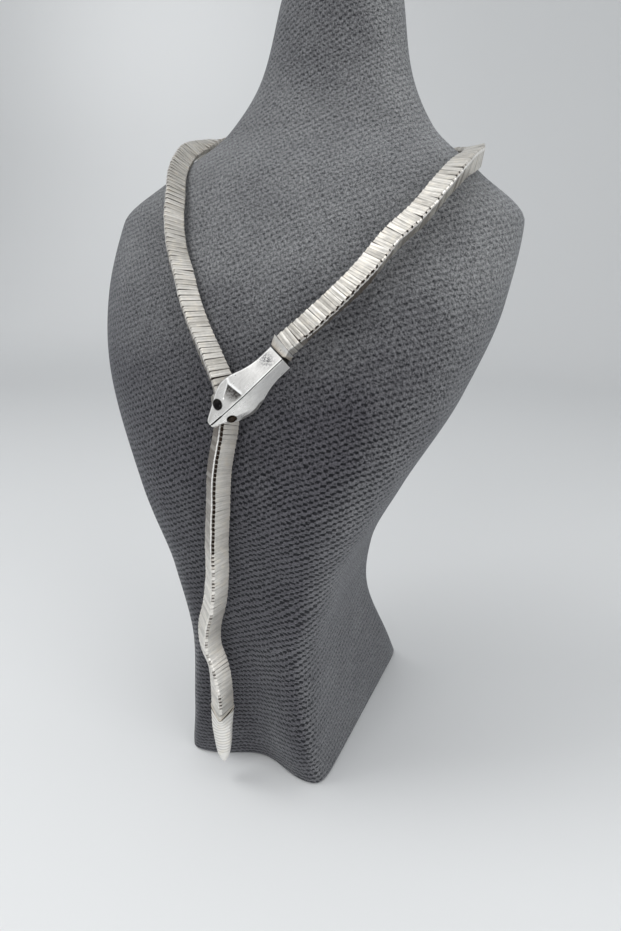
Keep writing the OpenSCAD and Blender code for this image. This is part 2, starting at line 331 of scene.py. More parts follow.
class Value:
    """A socket in a node tree, so that sums of sockets read as plain Python."""

    def __init__(self, graph, socket):
        self.graph, self.socket = graph, socket

    def __add__(self, other):
        return self.graph.sum("ADD", self, other)

    def __sub__(self, other):
        return self.graph.sum("SUBTRACT", self, other)

    def __rsub__(self, other):
        return self.graph.sum("SUBTRACT", other, self)

    def __mul__(self, other):
        return self.graph.sum("MULTIPLY", self, other)

    __radd__ = __add__
    __rmul__ = __mul__


class Graph:
    """A node tree being made. node() adds any node, with its settings first."""

    def __init__(self, tree):
        self.tree = tree

    def node(self, kind, inputs=None, out=None, **settings):
        made = self.tree.nodes.new(kind)
        for key, value in settings.items():
            setattr(made, key, value)
        for key, value in (inputs or {}).items():
            self.feed(self.find(made.inputs, key), value)
        if not made.outputs:
            return made
        return Value(self, self.find(made.outputs, out))

    @staticmethod
    def find(sockets, key):
        """A socket by its number or name, or the first one that is in use."""
        if isinstance(key, int):
            return sockets[key]
        live = [s for s in sockets if s.enabled]
        return live[0] if key is None else next(s for s in live if s.name == key)

    def feed(self, socket, value):
        if isinstance(value, Value):
            self.tree.links.new(value.socket, socket)
        else:
            socket.default_value = value

    def sum(self, operation, a, b):
        return self.node("ShaderNodeMath", {0: a, 1: b}, operation=operation)


class Finish(Graph):
    """A material being made."""

    def __init__(self, name):
        self.material = bpy.data.materials.new(name)
        self.material.use_nodes = True
        super().__init__(self.material.node_tree)
        self.tree.nodes.clear()

    def place(self):
        """Object coordinates in millimetres."""
        spot = self.node("ShaderNodeTexCoord", out="Object")
        return self.node("ShaderNodeVectorMath", {0: spot, 1: (1 / MM,) * 3}, operation="MULTIPLY")

    def weave(self):
        """The piece's own surface coordinates, across and along, as two values."""
        spot = self.node("ShaderNodeUVMap", uv_map="weave")
        split = self.node("ShaderNodeSeparateXYZ", {0: spot}, out="X")
        return split, Value(self, split.socket.node.outputs["Y"])

    def mark(self, name):
        """A value that the piece carries at its points."""
        return self.node("ShaderNodeAttribute", out="Fac", attribute_name=name)

    def noise(self, vector, scale, detail=2.0, rough=0.5):
        inputs = {"Vector": vector, "Scale": scale, "Detail": detail, "Roughness": rough}
        return self.node("ShaderNodeTexNoise", inputs)

    def vector(self, x, y):
        return self.node("ShaderNodeCombineXYZ", {"X": x, "Y": y})

    def sine(self, x):
        return self.node("ShaderNodeMath", {0: x}, operation="SINE")

    def clamp(self, x):
        return self.node("ShaderNodeClamp", {"Value": x})

    def mix(self, factor, a, b):
        """From colour a, where the factor is 0, to colour b."""
        colours = [c if isinstance(c, Value) else (*c, 1) for c in (a, b)]
        inputs = {"Factor": factor, "A": colours[0], "B": colours[1]}
        return self.node("ShaderNodeMix", inputs, data_type="RGBA")

    def bump(self, height, strength, distance):
        """A normal from relief, whose distance is in millimetres."""
        inputs = {"Height": height, "Strength": strength, "Distance": distance * MM}
        return self.node("ShaderNodeBump", inputs)

    def shade(self, **inputs):
        """Ends the tree in a Principled shader. Underscores stand for spaces."""
        sockets = {
            key.replace("_", " "): (*value, 1) if isinstance(value, tuple) else value
            for key, value in inputs.items()
        }
        shader = self.node("ShaderNodeBsdfPrincipled", sockets)
        self.node("ShaderNodeOutputMaterial", {"Surface": shader})
        return self.material


def knitted_cloth():
    """Charcoal velvet knit: soft hollows darkened by painted shade, in rows that rise to the right,
    under loose fuzz, with painted light on the pile.
    """
    f = Finish("charcoal_knit")
    across, along = f.weave()
    spot = f.place()
    wander = f.noise(spot, 0.07) - 0.5
    wobble = f.noise(spot, 0.55, 3.0) - 0.5
    column = across + along * KNIT_LEAN + wander * 2.2 + wobble * 0.9
    row = along + wander * 1.6 - wobble * 0.75
    waves = f.sine(column * (2 * math.pi)) * 0.66 + f.sine(row * (2 * math.pi)) * 0.92
    fibre = f.vector(across * KNIT_CELL * 1.5, along * KNIT_CELL * 0.8)
    fuzz = f.noise(fibre, 0.95, 4.0, 0.7)
    fleck = f.noise(spot, 1.7, 3.0, 0.75)
    depth = f.noise(spot, 0.16, 2.0)
    wear = f.noise(spot, 0.05, 3.0)
    # Painted light on the pile, with a random wear mottle on top
    painted_light = f.clamp(f.mark("painted_light") + (wear - 0.5) * 0.6)
    relief = f.mark("relief")
    strength = (0.16 + depth * 0.8) * (1 - painted_light * 0.45 + relief * 1.6)
    hollow = f.clamp((waves + 0.1) * strength + (fuzz - 0.5) * 2.4)
    rough = (fuzz - 0.5) * 3.0 + (fleck - 0.5) * 2.3
    # The pile is darkened in the knit's hollows: painted shade
    pile = f.clamp(0.6 + relief * 0.22 + rough - hollow * (0.68 + relief * 0.3))
    # Pile colours without and with the painted light
    dark = f.mix(pile, (0.004, 0.004, 0.006), (0.099, 0.096, 0.108))
    light = f.mix(pile, (0.030, 0.031, 0.034), (0.295, 0.300, 0.303))
    return f.shade(
        Base_Color=f.mix(painted_light, dark, light), Roughness=0.95, Specular_IOR_Level=0.1,
        Sheen_Weight=0.3, Sheen_Roughness=0.5, Sheen_Tint=(0.75, 0.78, 0.82),
        Normal=f.bump(fuzz * 0.8 + fleck * 0.5 - hollow * 0.8, 0.8, 0.6),
    )


# Colours of the metal's painted shade in its gaps and hollows, and of its gold tint
PAINTED_SHADE_COLOUR = (0.075, 0.052, 0.038)
DEEP_PAINTED_SHADE = (0.010, 0.008, 0.006)
GOLD = (0.80, 0.66, 0.47)


def chain_silver(name, metallic, dull):
    """Satin silver with fine cross lines, painted shade in its gaps and painted highlights beside
    its holes. Less metallic is whiter.
    """
    f = Finish(name)
    across, along = f.weave()
    spot = f.place()
    tone = f.mark("tone")
    crevice = f.mark("crevice")
    lines = f.noise(f.vector(across * 0.12, along * 2.4 + tone * 60.0), 1.0, 3.0, 0.6)
    scratch = f.noise(f.vector(across * 0.9, along * 6.0 + tone * 31.0), 1.0, 2.0)
    patches = f.noise(spot, 0.35, 3.0)
    bright = 0.5 + (lines - 0.5) * 1.6 + (tone - 0.5) * 0.35 + (patches - 0.5) * 0.7
    bright = f.clamp(bright + (scratch - 0.5) * 0.5)
    colour = f.mix(bright, dull, (0.93, 0.905, 0.855))
    colour = f.mix(f.clamp((patches - 0.5) * 1.6), colour, (0.78, 0.70, 0.56))
    colour = f.mix(f.mark("gold") * 0.6, colour, GOLD)
    # Painted highlight: nearly white and less metallic
    worn = f.mark("worn")
    colour = f.mix(worn, colour, (0.97, 0.96, 0.94))
    # Painted shade where the mesh marks crevices, darkest in the deepest gaps
    colour = f.mix(f.clamp(crevice * 1.2), colour, PAINTED_SHADE_COLOUR)
    colour = f.mix(f.clamp(crevice * 5.0 - 4.0), colour, DEEP_PAINTED_SHADE)
    rough = 0.27 + (1 - bright) * 0.12 + crevice * 0.3
    return f.shade(
        Base_Color=colour, Metallic=metallic - worn * 0.45, Roughness=rough,
        Normal=f.bump(lines + scratch * 0.3 + patches * 0.3, 0.42, 0.15),
    )


def clasp_silver():
    """The plain keeper under the head: the chain's silver, a little duller."""
    f = Finish("dull_silver")
    patches = f.noise(f.place(), 0.6, 4.0, 0.6)
    colour = f.mix(patches, (0.42, 0.39, 0.34), (0.80, 0.78, 0.74))
    relief = f.bump(patches, 0.3, 0.1)
    return f.shade(
        Base_Color=colour, Metallic=0.8, Roughness=0.34 + patches * 0.14, Normal=relief
    )


def head_silver():
    """Brushed cast silver: fine lines along the head, painted shade mottled in its hollows and
    painted highlights on its edges.
    """
    f = Finish("brushed_head_silver")
    across, along = f.weave()
    crevice = f.mark("crevice")
    spot = f.place()
    lines = f.noise(f.vector(across * 3.2, along * 0.35), 1.0, 3.0)
    patches = f.noise(spot, 0.3, 4.0, 0.6)
    grain = f.noise(spot, 1.5, 3.0, 0.7)
    bright = f.clamp(0.5 + (lines - 0.5) * 0.8 + (patches - 0.5) * 1.3 + (grain - 0.5) * 0.5)
    colour = f.mix(bright, (0.54, 0.53, 0.51), (0.89, 0.88, 0.86))
    stain = f.clamp((grain - 0.42) * 8) * f.mark("stain")
    colour = f.mix(f.clamp(stain * 0.95), colour, (0.06, 0.06, 0.07))
    colour = f.mix(f.mark("gold") * 0.6, colour, GOLD)
    # Painted highlight on the edges: nearly white and less metallic
    worn = f.mark("worn")
    colour = f.mix(worn, colour, (0.99, 0.99, 0.98))
    # Painted shade in the hollows, groove and lower walls, mottled by the grain, darkest in the
    # deepest
    dark = f.clamp(crevice * (0.1 + grain * 2.1))
    colour = f.mix(dark, colour, (0.065, 0.058, 0.055))
    colour = f.mix(f.clamp(crevice * 5.0 - 4.0), colour, DEEP_PAINTED_SHADE)
    rough = 0.23 + (1 - bright) * 0.16 + dark * 0.3 + stain * 0.2
    return f.shade(
        Base_Color=colour, Metallic=0.68 - worn * 0.3, Roughness=rough,
        Normal=f.bump(lines + patches * 0.5 + grain * 0.35, 0.3, 0.12),
    )


def clouded(name, scale, dark, light, **inputs):
    """A plain finish with a faint cloud between two colours."""
    f = Finish(name)
    cloud = f.noise(f.place(), scale)
    return f.shade(Base_Color=f.mix(cloud, dark, light), **inputs)


def set_material(piece, material):
    piece.data.materials.clear()
    piece.data.materials.append(material)


def finish_piece(piece, node, material=None):
    """What every new piece needs: it rides on the one body and stands for its node."""
    if material:
        set_material(piece, material)
    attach(piece, "root")
    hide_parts(node)


# One cell of the knit, and how far its columns lean for each row
KNIT_CELL = 2.15
KNIT_LEAN = 0.4
# How steeply the rows rise: height on the bust, angle
KNIT_RISE = [(0, 6), (90, 26)]
# How far to each side of the front the rows rise. At the back they are level
KNIT_WRAP = 90
BUST_STEP = 2.4
BUST_SIDES = 240
FOOT_ROUND = 1.3
FOOT_LEVELS = [0.0, 0.25, 0.8, FOOT_ROUND]
# The top's levels, as shares of its rounding
TOP_LEVELS = [1, 0.8, 0.6, 0.42, 0.27, 0.15, 0.06, 0]
# How far the loose cover stands out at the foot, and how high up it does
FLARE = 1.9
FLARE_TOP = 27
# Stretches of height where the painted light on the pile and the knit's relief change
CHEST_UP, SHOULDERS, FOOT_UP, KNIT_FADES = (150, 240), (195, 235), (80, 150), (110, 190)


def paint_pile_light(piece):
    """Paints light on the pile higher up and where it faces up or to the sides, and marks that the
    knit stands out low in front.
    """
    mesh = piece.data
    count = len(mesh.vertices)
    place, normal = np.zeros(3 * count), np.zeros(3 * count)
    mesh.vertices.foreach_get("co", place)
    mesh.vertex_normals.foreach_get("vector", normal)
    height = place.reshape(-1, 3)[:, 2] / MM
    side, back, up = normal.reshape(-1, 3).T
    # Painted light: higher up, on faces turned up, on faces turned to +X, and low on faces turned
    # to -X
    painted_light = 0.45 * smooth(*CHEST_UP, height) + 0.38 * smooth(0.1, 0.8, up)
    painted_light += 0.4 * smooth(0.2, 0.9, side)
    painted_light += 0.4 * smooth(*SHOULDERS, height) * smooth(0.25, 0.7, side)
    painted_light += 0.5 * (1 - smooth(*FOOT_UP, height)) * smooth(0.15, 0.7, -side)
    relief = (1 - smooth(*KNIT_FADES, height)) * smooth(0.2, 0.7, -back)
    for name, values in (("painted_light", painted_light.clip(0, 1)), ("relief", relief)):
        mesh.attributes.new(name, "FLOAT", "POINT").data.foreach_set("value", values)


def bust_cover():
    """The bust in its knitted cover. Its surface coordinates count the knit's cells."""
    levels = FOOT_LEVELS + list(np.arange(FOOT_ROUND + BUST_STEP, BUST_H - TOP_ROUND, BUST_STEP))
    levels += list(BUST_H - TOP_ROUND * np.array(TOP_LEVELS))
    angles = np.linspace(-math.pi, math.pi, BUST_SIDES, endpoint=False)
    rings, uv = [], []
    for z in levels:
        inset = FOOT_ROUND - math.sqrt(FOOT_ROUND**2 - max(0, FOOT_ROUND - z) ** 2)
        row = np.array([bust_point(z, a, inset) for a in angles])
        row[:, 0] -= FLARE * (1 - smooth(0, FLARE_TOP, z)) * smooth(0.3, 1, -row[:, 0] / FOOT_HALF)
        rings.append(list(row))
        steps = np.linalg.norm(np.diff(row, axis=0), axis=1)
        girth = np.concatenate([[0], np.cumsum(steps)])
        girth -= girth[BUST_SIDES // 2]
        turn = math.radians(curve_at(KNIT_RISE, z))
        for u in girth:
            across = u * math.cos(turn) + z * math.sin(turn)
            along = z * math.cos(turn) - KNIT_WRAP * math.tanh(u / KNIT_WRAP) * math.sin(turn)
            uv.append((across / KNIT_CELL, along / KNIT_CELL))
    piece = make_piece("bust_cover", *loft(rings), uv, sharp=70)
    paint_pile_light(piece)
    finish_piece(piece, "neck_bust", knitted_cloth())


# Each kind of link: its pitch, the most that it tilts by chance, its hole's edges measured from the
# ridge, how much smaller its back end is and how much painted shade darkens its ends
NECK_LINK = (NECK_PITCH, 2.2, (-0.38, 0.42), 0.055, 0.5)
TAIL_LINK = (TAIL_PITCH, 0.8, (-0.42, 0.72), 0.035, 0.18)
# The forms of each kind. columns: name, hole as a share of the half length, painted shade on the
# narrow side, painted shade towards the far edge, painted highlight beside the hole, and the
# openings from and up to which it is used
NECK_FORMS = [
    ("link_closed", 0.06, 0, 0, 0.6, -9, 0.35),
    ("link_dot", 0.36, 0.45, 0, 0.8, 0.35, 0.7),
    ("link_open", 0.68, 0.7, 0, 0.8, 0.7, 9),
]
TAIL_FORMS = [
    ("tail_closed", 0, 0, 0.3, 0, -9, 0.35),
    ("tail_dot", 0.4, 0.12, 0.36, 0.15, 0.35, 0.7),
    ("tail_low", 0.92, 0.28, 0.42, 0.6, 0.7, 1.05),
    ("tail_mid", 0.92, 0.42, 0.42, 0.7, 1.05, 1.4),
    ("tail_open", 0.92, 0.6, 0.42, 0.8, 1.4, 9),
]
# How open the holes over the ridge are: row of ROUTE, opening
NECK_OPENING = [
    (0, 0.1), (0.6, 0.2), (0.8, 1.0), (2.1, 1.0), (2.5, 0.42), (5.2, 0.36), (6, 0.1), (26, 0.05),
]
TAIL_OPENING = [(27, 1.7), (31, 1.0), (31.5, 0.42), (37, 0.4), (37.3, 0), (40, 0)]
# The most by which chance makes a link smaller, and the width of the range of its opening
LINK_SHRINK = 0.03
LINK_LUCK = 0.55
LINK_SEED = 7
HOLE_BEVEL = 0.12
# A hole at least this long gets painted shade at its edge
HOLE_DEEP = 0.3
# The strip beside the holes that gets a painted highlight ends between these distances from the
# ridge
STRIP = (0.95, 1.15)


def link_section(hole_from, hole_to):
    """The outline of one link, with the share of each corner that its ridge hole moves."""
    right = chain_section(CHAIN_W, CHAIN_H, CHAIN_EDGE)
    top, crest = right[2], right[3]
    low = (CHAIN_H - 2 * CHAIN_EDGE) / 3
    steep = 3 * low / (CHAIN_W / 2 - CHAIN_EDGE)

    def surface(x):
        if x < top[0]:
            return crest[1] - (crest[1] - top[1]) * (x / top[0]) ** 2
        return top[1] - (x - top[0]) * steep

    hole = [(hole_to + HOLE_BEVEL, 0), (hole_to, 1), (hole_from + HOLE_BEVEL, 1), (hole_from, 0)]
    outline = [(x, y, 0) for x, y in right[:2]]
    outline += [(x, surface(abs(x)), share) for x, share in hole]
    outline.append((*right[4], 0))
    outline += [(-x, surface(x), 0) for x in STRIP]
    outline += [(x, y, 0) for x, y in right[5:]]
    return outline


def link_mesh(name, kind, hole, flank, far_edge_shade, bright):
    """One link along +Z with its ridge at +Y and a hole cut back from both ends. It gets painted
    shade, by flank on its narrow side and by the next argument towards its far edge, and a painted
    highlight beside its hole."""
    pitch, _, span, step, joint_shade = kind
    half = pitch / 2 - step * 0.6
    corners = link_section(*span)
    # columns: place as a share of the half length, size, painted shade
    rows = [
        (-1.0, 0.74, 1.0),
        (-1.0, 1 - step, joint_shade),
        (-0.8, 1 - 0.8 * step, 0.0),
        (0.03, 1 - 0.6 * step, joint_shade * 0.35),
        (0.12, 1 - 0.35 * step, 0.0),
        (0.8, 1.0, 0.0),
        (1.0, 0.985, joint_shade * 0.35),
        (1.0, 0.74, 1.0),
    ]
    rings, uv, crevice, worn = [], [], [], []
    for place, size, painted_shade in rows:
        line = []
        for x, y, share in corners:
            z = half * place * (1 - share * hole)
            line.append(np.array([x * size, y * size, z]))
            uv.append((math.atan2(x, y) * 4, z))
            # Painted shade on the narrow flank, towards the far edge and at deep holes' edges; the
            # strip beside the holes gets a painted highlight instead
            strip = -STRIP[1] < x < span[0] + HOLE_BEVEL / 2
            cover = flank if x < -STRIP[0] else 0 if strip else far_edge_shade * max(0, 2 * x / CHAIN_W)
            crevice.append(max(painted_shade, cover, 0.35 * share * (hole > HOLE_DEEP)))
            worn.append(bright * strip * (1 - painted_shade))
        rings.append(line)
    return make_piece(name, *loft(rings), uv, {"crevice": crevice, "worn": worn}, sharp=38)


def link_tree(name, variants):
    """Geometry Nodes that set a link at even steps along a path, in one of several forms."""
    tree = bpy.data.node_groups.new(name, "GeometryNodeTree")
    face = tree.interface
    inputs = {"Path": "Geometry", "Count": "Int", "Seed": "Int", "Tilt": "Float",
              "Shrink": "Float", "Luck": "Float", "Metal": "Material"}
    for label, kind in inputs.items():
        face.new_socket(label, in_out="INPUT", socket_type="NodeSocket" + kind)
    face.new_socket("Links", in_out="OUTPUT", socket_type="NodeSocketGeometry")
    g = Graph(tree)
    entry = tree.nodes.new("NodeGroupInput")
    given = {s.name: Value(g, s) for s in entry.outputs if s.name}
    curve = g.node("GeometryNodeMeshToCurve", {"Mesh": given["Path"]})
    even = g.node("GeometryNodeResampleCurve", {"Curve": curve, "Count": given["Count"]})
    ridge = g.node("GeometryNodeInputNamedAttribute", {"Name": "ridge"}, data_type="FLOAT_VECTOR")
    opening = g.node("GeometryNodeInputNamedAttribute", {"Name": "opening"}, data_type="FLOAT")
    along = g.node("GeometryNodeInputTangent")
    axes = {"Primary Axis": along, "Secondary Axis": ridge}
    turn = g.node("FunctionNodeAxesToRotation", axes, primary_axis="Z", secondary_axis="Y")
    spread = [given["Tilt"] * k for k in (-1.0, 1.0)]
    low, high = (g.node("ShaderNodeCombineXYZ", {"X": s, "Y": s, "Z": s}) for s in spread)
    seed = given["Seed"]
    chance = {"Min": low, "Max": high, "Seed": seed}
    tilt = g.node("FunctionNodeRandomValue", chance, data_type="FLOAT_VECTOR")
    tilt = g.node("FunctionNodeEulerToRotation", {"Euler": tilt})
    both = {"Rotation": turn, "Rotate By": tilt}
    turn = g.node("FunctionNodeRotateRotation", both, rotation_space="LOCAL")
    luck, tone, size = (
        g.node("FunctionNodeRandomValue", {"Seed": seed + k}, data_type="FLOAT") for k in (1, 2, 3)
    )
    width = 1 - size * given["Shrink"]
    scale = g.node("ShaderNodeCombineXYZ", {"X": width, "Y": width, "Z": 1.0})
    form = opening + (luck - 0.5) * given["Luck"]
    parts = []
    for part, low_edge, high_edge in variants:
        above, below = (
            g.node("FunctionNodeCompare", {"A": form, "B": edge}, operation=way)
            for edge, way in ((low_edge, "GREATER_THAN"), (high_edge, "LESS_EQUAL"))
        )
        chosen = g.node("FunctionNodeBooleanMath", {0: above, 1: below}, operation="AND")
        source = {"Object": part, "As Instance": True}
        link = g.node("GeometryNodeObjectInfo", source, out="Geometry")
        setting = {"Points": even, "Selection": chosen, "Instance": link, "Rotation": turn,
                   "Scale": scale}
        parts.append(g.node("GeometryNodeInstanceOnPoints", setting))
    joined = g.node("GeometryNodeJoinGeometry", {"Geometry": parts[0]})
    for part in parts[1:]:
        tree.links.new(part.socket, joined.socket.node.inputs[0])
    store = {"Geometry": joined, "Name": "tone", "Value": tone}
    toned = g.node("GeometryNodeStoreNamedAttribute", store, data_type="FLOAT", domain="INSTANCE")
    solid = g.node("GeometryNodeRealizeInstances", {"Geometry": toned})
    coated = g.node("GeometryNodeSetMaterial", {"Geometry": solid, "Material": given["Metal"]})
    g.node("NodeGroupOutput", {"Links": coated})
    return tree


# Points of the chain's path for each link
PATH_FINE = 4
# The dark core, which is painted shade inside the chain: its size as a share of the chain's, and
# its steps
CORE_SIZE = 0.8
CORE_STEP = 1.6


def build_chain(node, start, end, kind, forms, opening, metal):
    """The links between two lengths of the route, over a dark core, as one plain mesh."""
    name = node + "_links"
    pitch, tilt, *_ = kind
    variants = [(link_mesh(form[0], kind, *form[1:5]), *form[5:]) for form in forms]
    tree = link_tree(name, variants)
    count = round((end - start) / pitch)
    step = (end - start) / count
    places = np.linspace(start + step / 2, end - step / 2, count * PATH_FINE)
    frames = [route.frame(s) for s in places]
    mesh = bpy.data.meshes.new(name + "_path")
    edges = [(i, i + 1) for i in range(len(places) - 1)]
    mesh.from_pydata([Vector(f[0]) * MM for f in frames], edges, [])
    ridge = mesh.attributes.new("ridge", "FLOAT_VECTOR", "POINT")
    ridge.data.foreach_set("vector", np.array([f[2] for f in frames]).ravel())
    open_at = mesh.attributes.new("opening", "FLOAT", "POINT")
    rows, amounts = zip(*opening)
    lengths = [route.length_at(row) for row in rows]
    open_at.data.foreach_set("value", np.interp(places, lengths, amounts))
    path = add_object(name + "_path", mesh)
    modifier = path.modifiers.new("links", "NODES")
    modifier.node_group = tree
    values = {"Count": count, "Seed": LINK_SEED, "Tilt": math.radians(tilt),
              "Shrink": LINK_SHRINK, "Luck": LINK_LUCK, "Metal": metal}
    for item in tree.interface.items_tree:
        if item.item_type == "SOCKET" and item.name in values and item.in_out == "INPUT":
            modifier[item.identifier] = values[item.name]
    piece = add_object(name, shaped_mesh(path))
    for part in (path, *(variant[0] for variant in variants)):
        bpy.data.objects.remove(part)
    join_pieces(piece, build_core(name + "_core", start, end))
    finish_piece(piece, node)


def build_core(name, start, end):
    """A plain dark core under the links, painted shade that closes the view through their gaps."""
    count = max(2, round((end - start) / CORE_STEP))
    section = chain_section(CHAIN_W * CORE_SIZE, CHAIN_H * CORE_SIZE, CHAIN_EDGE)
    places = np.linspace(start, end, count + 1)
    core = make_piece(name, *loft([ring(route.frame(s), section) for s in places]))
    colours = (0.012, 0.008, 0.006), (0.06, 0.035, 0.022)
    set_material(core, clouded("painted_shade_core", 1.3, *colours, Metallic=0.6, Roughness=0.6))
    return core


def join_pieces(first, other):
    """Makes the second object part of the first. Each keeps its own material."""
    with bpy.context.temp_override(
        active_object=first, object=first, selected_editable_objects=[first, other]
    ):
        bpy.ops.object.join()


def main_chains(metal, tail_metal):
    """The chain round the neck and the hanging one, with a small gap between them."""
    middle = [CHAIN_MID + GAP * side / 2 for side in (-1, 1)]
    build_chain("neck_chain", 0, middle[0], NECK_LINK, NECK_FORMS, NECK_OPENING, metal)
    end = COLLAR_FROM - GAP
    build_chain("tail_chain", middle[1], end, TAIL_LINK, TAIL_FORMS, TAIL_OPENING, tail_metal)


# The head's outline from above: place along, half width, height of its edge
HEAD_SIDE = SmoothTable([
    (0, 5, -1.4), (5, 4.95, -1.3), (8.8, 5.3, -1.2), (12, 6, -1.05), (15, 7, -0.9),
    (17.2, 7.7, -0.85), (19, 8, -0.9), (20.6, 8, -1), (22.6, 7.6, -1.1), (24.2, 7, -1.1),
    (25.8, 6.2, -1), (28, 4.9, -0.7), (30.5, 3.5, -0.4), (32.5, 2.4, -0.2), (33.5, 1.75, -0.2),
    (34, 1.1, -0.2),
])
# The head's ridge and foot: place along, ridge height, foot height
HEAD_RIDGE = SmoothTable([
    (0, 3.2, -2.9), (8.8, 3.4, -2.8), (15, 3.6, -2.7), (18.6, 3.7, -2.6), (20.4, 3.35, -2.5),
    (25.5, 2.8, -2.3), (29.2, 2.2, -2.1), (32.3, 1.6, -1.9), (34, 0.9, -1.3),
])
# The inner edge in front of the brow: place along, distance from the ridge
HEAD_INNER = [(18.6, 7.4), (20.6, 5.9), (24, 4.2), (25.5, 3.8), (27.4, 3.6), (30, 2.5), (34, 0.8)]
# The brow: distance from the ridge, place along
BROW = [(0, 18.7), (1, 18.7), (6.2, 19.5), (8.4, 18.2)]
# The groove on the ridge: place along, depth, half width
GROOVE = [(0, 0.3, 0.2), (1, 0.5, 0.22), (22, 0.4, 0.22), (24, 0.25, 0.18), (28.5, 0.25, 0.2),
          (29.5, 0.6, 0.34), (33.2, 0.6, 0.34), (34, 0.1, 0.2)]
# Where the front's slope takes over from the rear's, ahead of the brow: on the left and right
BROW_STEP, PLAIN_STEP = (-0.05, 0.25), (-1, 6)
# The front's fall from the ridge, the hollow's depth and painted shade, and the height of the two
# rims
FRONT_FALL = 0.38
RECESS = 1.25
RECESS_DARK = 0.78
BROW_RIM = 0.3
LIP_RIM = 0.07
# The jowl's plane on the right: where it begins and ends, its width, slope and painted shade
JOWL_FROM, JOWL_TO = (13.5, 17), (23.5, 26)
JOWL = 1.25
JOWL_SLOPE = 0.75
JOWL_DARK = 0.6
# How strong the painted highlight on the outer edge and the painted light on the right side's rear
# plane are, and where that plane ends
EDGE_HIGHLIGHT, REAR_PAINTED_LIGHT, REAR_ENDS = 0.7, 0.35, (10, 21)
# The corners below the head's edge: outwards, up, painted shade
HEAD_WALL = [(0.03, -0.04, 0.3), (0.1, -0.2, 0.4), (0.12, -0.6, 0.5), (0.04, -1.0, 0.6)]
# Painted shade on the head's underside
FOOT_DARK = 0.6
# Each eye's place, size, seat and turn
EYE_ALONG = 27.1
EYE_OUT = 3.65
EYE_LONG = 1.68
EYE_WIDE = 1.36
EYE_HIGH = 0.8
EYE_SINK = 0.1
EYE_SEAT = 0.45
EYE_TURN = math.radians(-42.6)
EYE_SIDES = 28
EYE_RISES = [-60, -30, 0, 15, 30, 45, 60, 72, 82, 88]
# The stained patch behind the brow: place along, distance from the ridge, radius
STAIN = (4.2, 3.2, 2.3)
# The head's sections: from, to, step; and the places of its corners next to the ridge
HEAD_STEPS = [(0, 17.8, 0.55), (17.8, 24.5, 0.14), (24.5, 29.6, 0.16), (29.6, HEAD_L, 0.3)]
HEAD_COLUMNS = 30
HEAD_NEAR_RIDGE = [0.0, 0.1, 0.2, 0.34, 0.5]


def eye_reach(across, along):
    """How far a place is from an eye's middle: 1 on its outline, a slightly long round."""
    x, y = across - EYE_OUT, along - EYE_ALONG
    c, s = math.cos(EYE_TURN), math.sin(EYE_TURN)
    return math.hypot((x * c + y * s) / EYE_LONG, (y * c - x * s) / EYE_WIDE)


def left_forms(across, along):
    """The left side's hollow in front of its brow, its brow's raised rim and its cheek's edge, each
    as a share. The rim and the cheek's edge carry painted highlights."""
    inner, ahead = curve_at(HEAD_INNER, along), along - curve_at(BROW, across)
    hollow = smooth(*BROW_STEP, ahead) * (1 - smooth(1.4, 6.5, ahead)) * smooth(0.5, 1.1, across)
    hollow *= 1 - smooth(inner - 0.5, inner + 0.1, across)
    brow = math.exp(-(((ahead + 0.3) / 0.48) ** 2)) * smooth(0.6, 1.5, across)
    cheek = smooth(18.4, 19.6, along) * (1 - smooth(21.5, 25, along))
    return hollow, brow, math.exp(-(((across - inner) / 0.3) ** 2)) * cheek


def head_surface(across, along, left):
    """Height of the head's top, without its groove and eyes. Only its left side has a brow."""
    _, half, edge = HEAD_SIDE.at(along)
    top = HEAD_RIDGE.at(along)[1]
    inner, ahead = curve_at(HEAD_INNER, along), along - curve_at(BROW, across)
    rear = top - (top - edge) * across / half
    front = top - FRONT_FALL * min(across, inner)
    if across >= inner:
        front -= (front - edge) * (across - inner) / max(half - inner, 0.1)
    if not left:
        return rear + (front - rear) * smooth(*PLAIN_STEP, ahead)
    hollow, brow, _ = left_forms(across, along)
    front -= RECESS * hollow
    return rear + (front - rear) * smooth(*BROW_STEP, ahead) + BROW_RIM * brow


